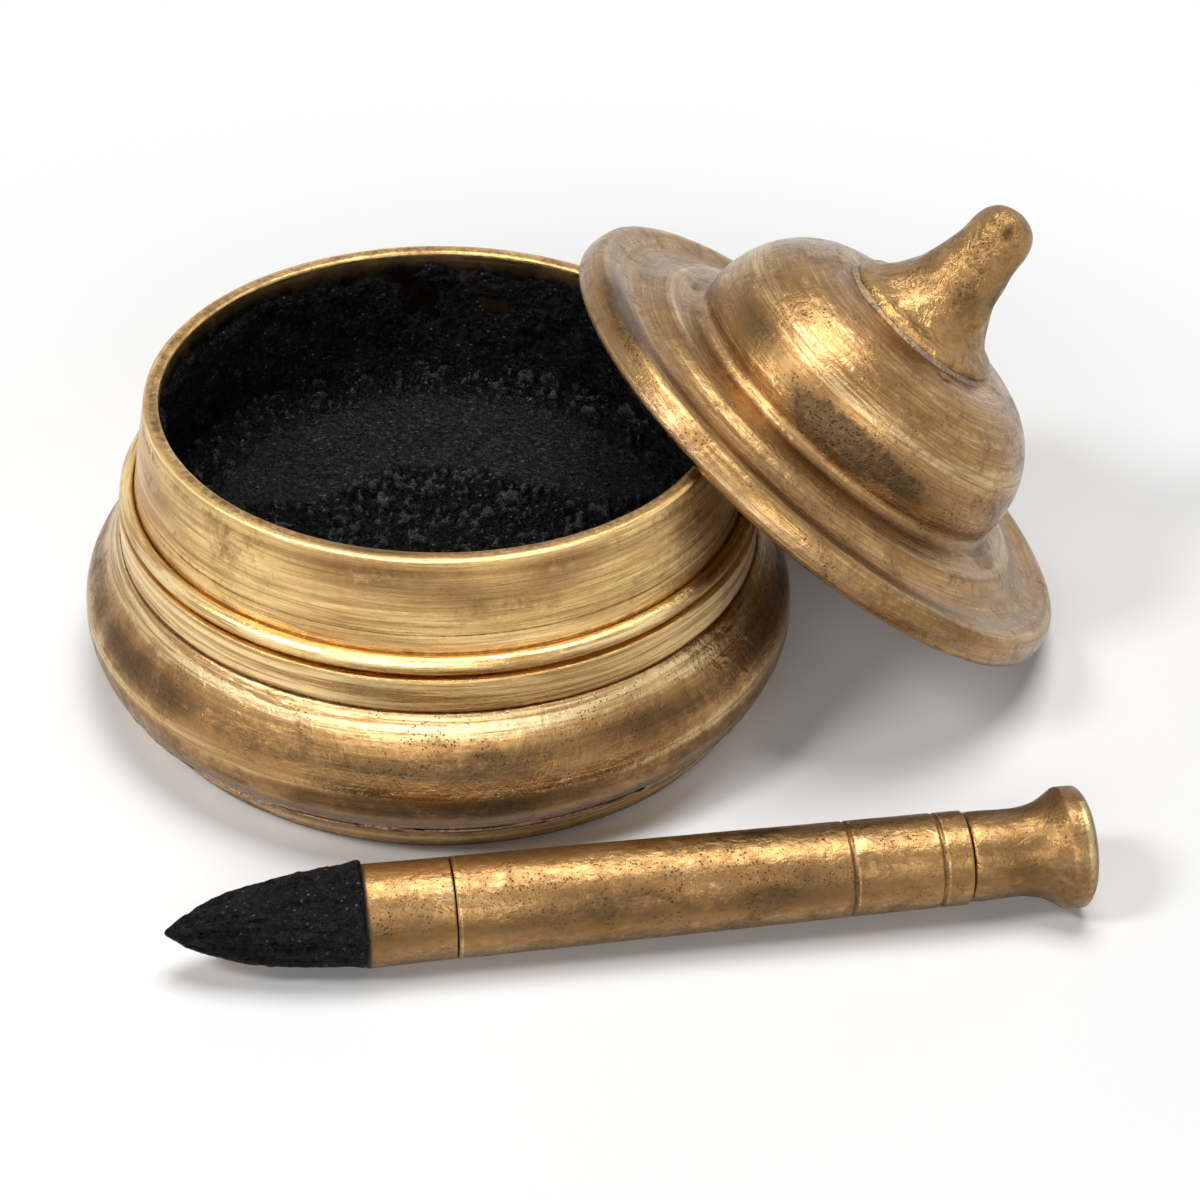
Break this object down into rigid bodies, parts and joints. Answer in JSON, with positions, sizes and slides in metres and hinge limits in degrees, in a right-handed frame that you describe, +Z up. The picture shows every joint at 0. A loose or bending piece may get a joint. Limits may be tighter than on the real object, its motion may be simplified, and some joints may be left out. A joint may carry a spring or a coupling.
{
  "type": "kohl container",
  "caption": "Squat brass kohl pot with a beaded neck, its domed lid with a finial leaning on the rim, and a round kohl stick with a pommel lying in front.",
  "frame": {"origin": "Centre of the flat underside of the pot's base, on the table.", "axes": "+Z up along the pot's axis, +X to the right towards the leaning lid, +Y from the kohl stick in front towards the back of the pot."},
  "size_m": [0.0806, 0.0764, 0.037],
  "materials": {
    "aged_brass": "turned brass with brown patina, dull and slightly scratched",
    "solder": "dull grey soft solder",
    "kohl": "matt black kohl paste, crumbly"
  },
  "bodies": {
    "pot": {"base_disc": "aged_brass", "base_solder": "solder", "bowl": "aged_brass", "neck_collar": "aged_brass", "neck_bead": "aged_brass", "kohl_fill": "kohl", "kohl_wall_coat": "kohl"},
    "lid": {"lid_shell": "aged_brass", "finial": "aged_brass", "finial_solder": "solder"},
    "stick": {"stick_point": "aged_brass", "stick_shank": "aged_brass", "stick_pommel": "aged_brass", "stick_kohl_tip": "kohl"}
  },
  "joints": [
    {"name": "lid_lift", "type": "slide", "parent": "pot", "child": "lid", "axis": [0, 0, 1], "range_m": [0, 0.06]},
    {"name": "stick_lift", "type": "slide", "parent": "pot", "child": "stick", "axis": [0, 0, 1], "range_m": [0, 0.08]}
  ]
}
